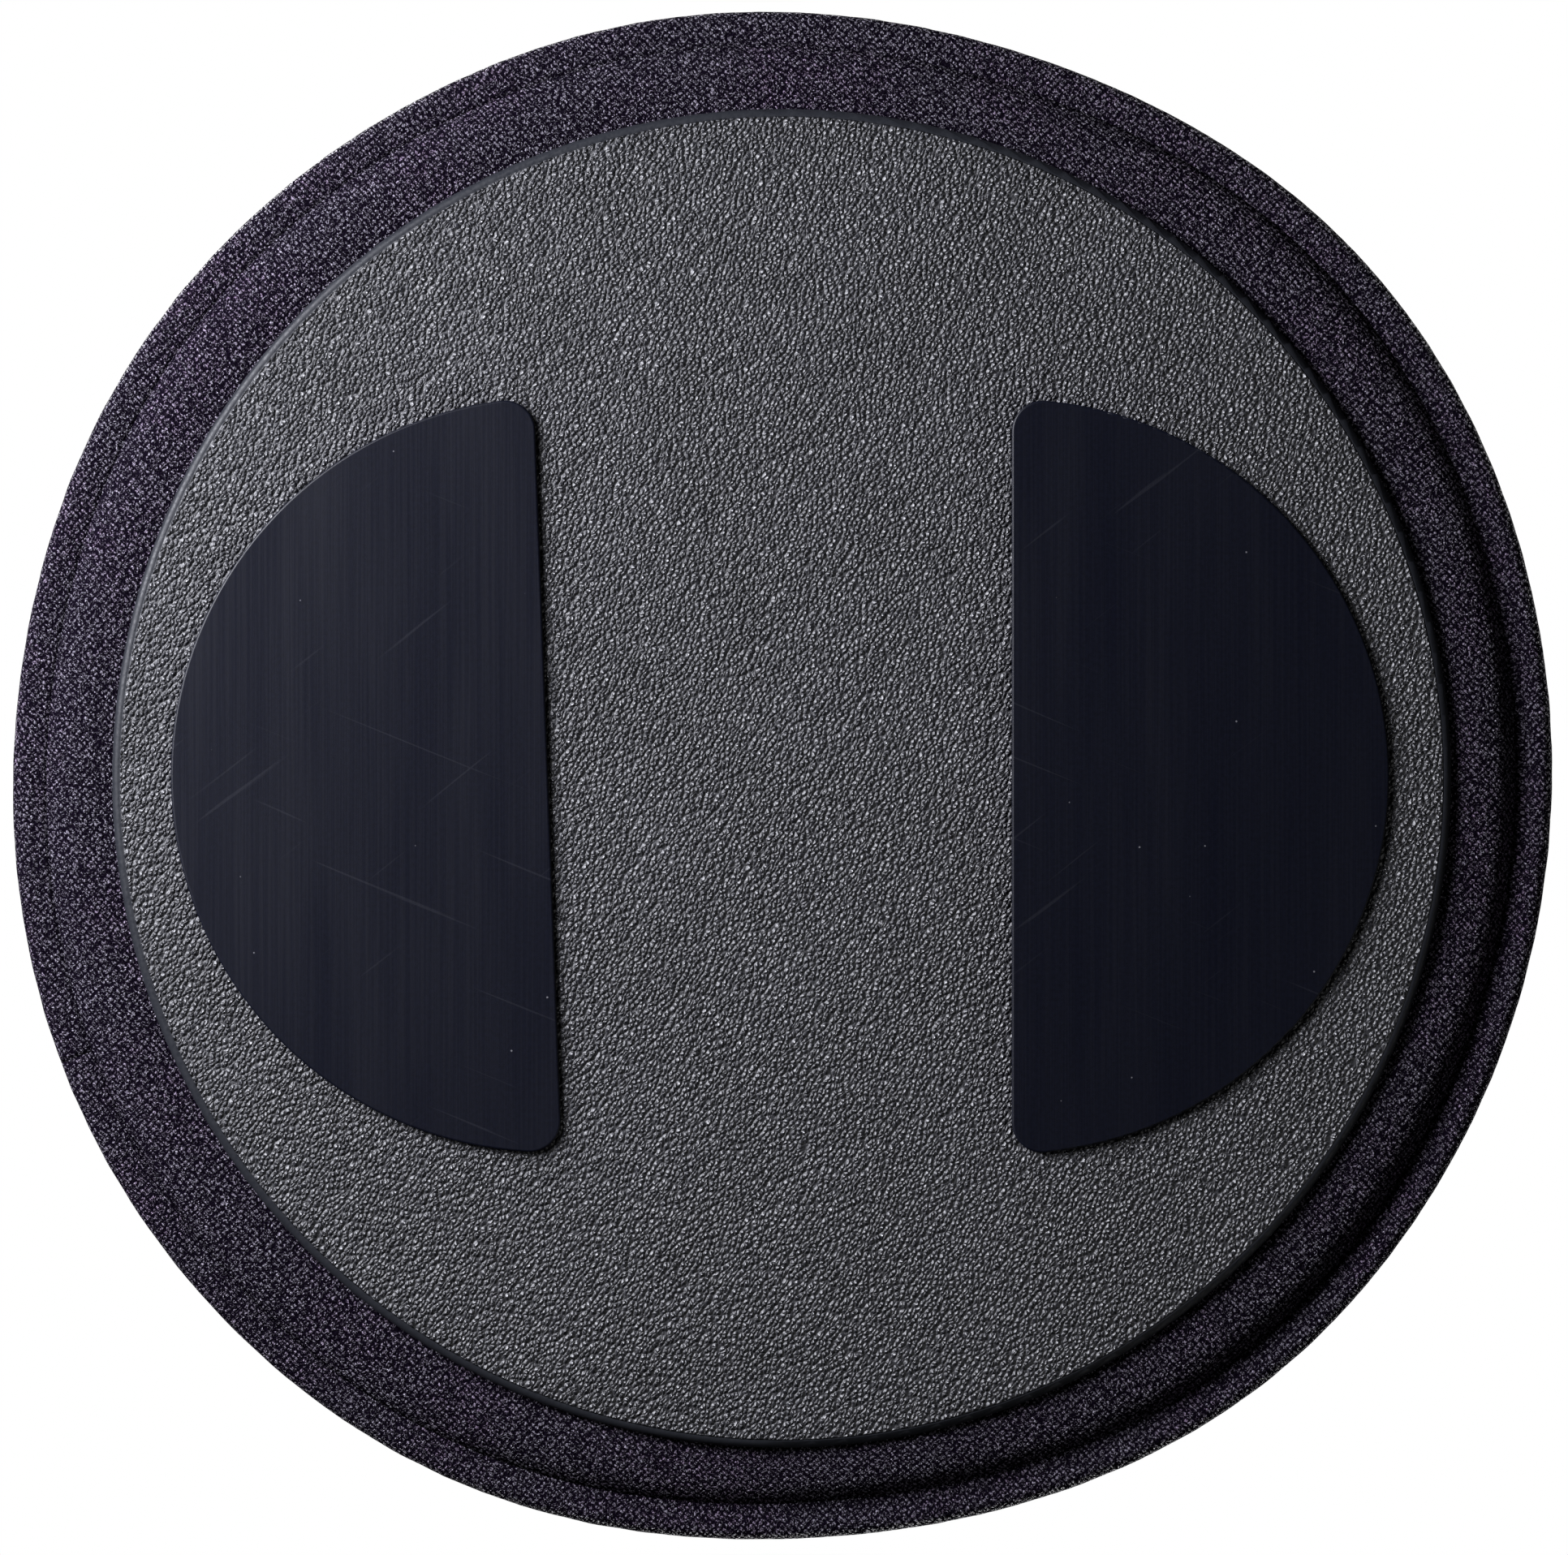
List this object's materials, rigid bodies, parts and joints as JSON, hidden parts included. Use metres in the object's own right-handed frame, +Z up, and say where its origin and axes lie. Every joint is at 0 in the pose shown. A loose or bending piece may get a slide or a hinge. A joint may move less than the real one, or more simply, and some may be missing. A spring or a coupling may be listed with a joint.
{
  "type": "swivel seat cushion",
  "caption": "Round padded fabric seat cushion that turns on a flat plastic turntable, with D-shaped grip pads under a grained base disc and a zip round the back.",
  "frame": {"origin": "Centre of the cushion on the plane of the grip pads' lower faces, which rest on the seat.", "axes": "+Z is up, away from the seat. -Y is the front; the zip is at the back, +Y. +X is the sitter's right."},
  "size_m": [0.39, 0.39, 0.052],
  "materials": {
    "base_plastic": "leather-grained moulded polypropylene, dark charcoal",
    "grip_rubber": "smooth blue-black die-cut rubber sheet",
    "adhesive_film": "thin double-sided film",
    "glide_plastic": "low-friction acetal",
    "screw_steel": "zinc plated steel",
    "turntable_plastic": "plain moulded polypropylene, black",
    "board_wood": "birch plywood",
    "foam_firm": "high density polyurethane foam",
    "foam_soft": "viscoelastic foam",
    "cover_fabric": "navy-black knitted fabric with a sparkling yarn",
    "zip_tape_cloth": "woven polyester tape",
    "zip_coil_plastic": "black nylon coil",
    "zip_metal": "die-cast zinc, black enamel"
  },
  "bodies": {
    "base": {"base_plate": "base_plastic", "grip_pad_left": "grip_rubber", "grip_pad_right": "grip_rubber", "grip_film_left": "adhesive_film", "grip_film_right": "adhesive_film", "glide_ring_inner": "glide_plastic", "glide_ring_outer": "glide_plastic", "retaining_washer": "screw_steel", "pivot_screw": "screw_steel"},
    "cushion": {"turntable_plate": "turntable_plastic", "hub_bush": "glide_plastic", "stiffener_board": "board_wood", "clamp_screws": "screw_steel", "tee_nuts": "screw_steel", "foam_core": "foam_firm", "comfort_foam": "foam_soft", "bottom_panel": "cover_fabric", "side_band": "cover_fabric", "zip_band_lower": "cover_fabric", "zip_band_upper": "cover_fabric", "top_panel": "cover_fabric", "zip_tape_upper": "zip_tape_cloth", "zip_tape_lower": "zip_tape_cloth", "zip_coil_upper": "zip_coil_plastic", "zip_coil_lower": "zip_coil_plastic", "zip_top_stops": "zip_metal", "zip_bottom_stop": "zip_metal"},
    "slider": {"zip_slider": "zip_metal"},
    "pull": {"zip_pull": "zip_metal"}
  },
  "joints": [
    {"name": "swivel", "type": "hinge", "parent": "base", "child": "cushion", "pos_m": [0, 0, 0.006], "axis": [0, 0, 1], "continuous": true},
    {"name": "zip_travel", "type": "hinge", "parent": "cushion", "child": "slider", "pos_m": [0, 0, 0.0365], "axis": [0, 0, 1], "range_deg": [-132, 0]},
    {"name": "pull_flip", "type": "hinge", "parent": "slider", "child": "pull", "pos_m": [-0.17894, 0.07929, 0.03718], "axis": [0.2785, -0.1234, 0.9525], "range_deg": [0, 170]}
  ]
}
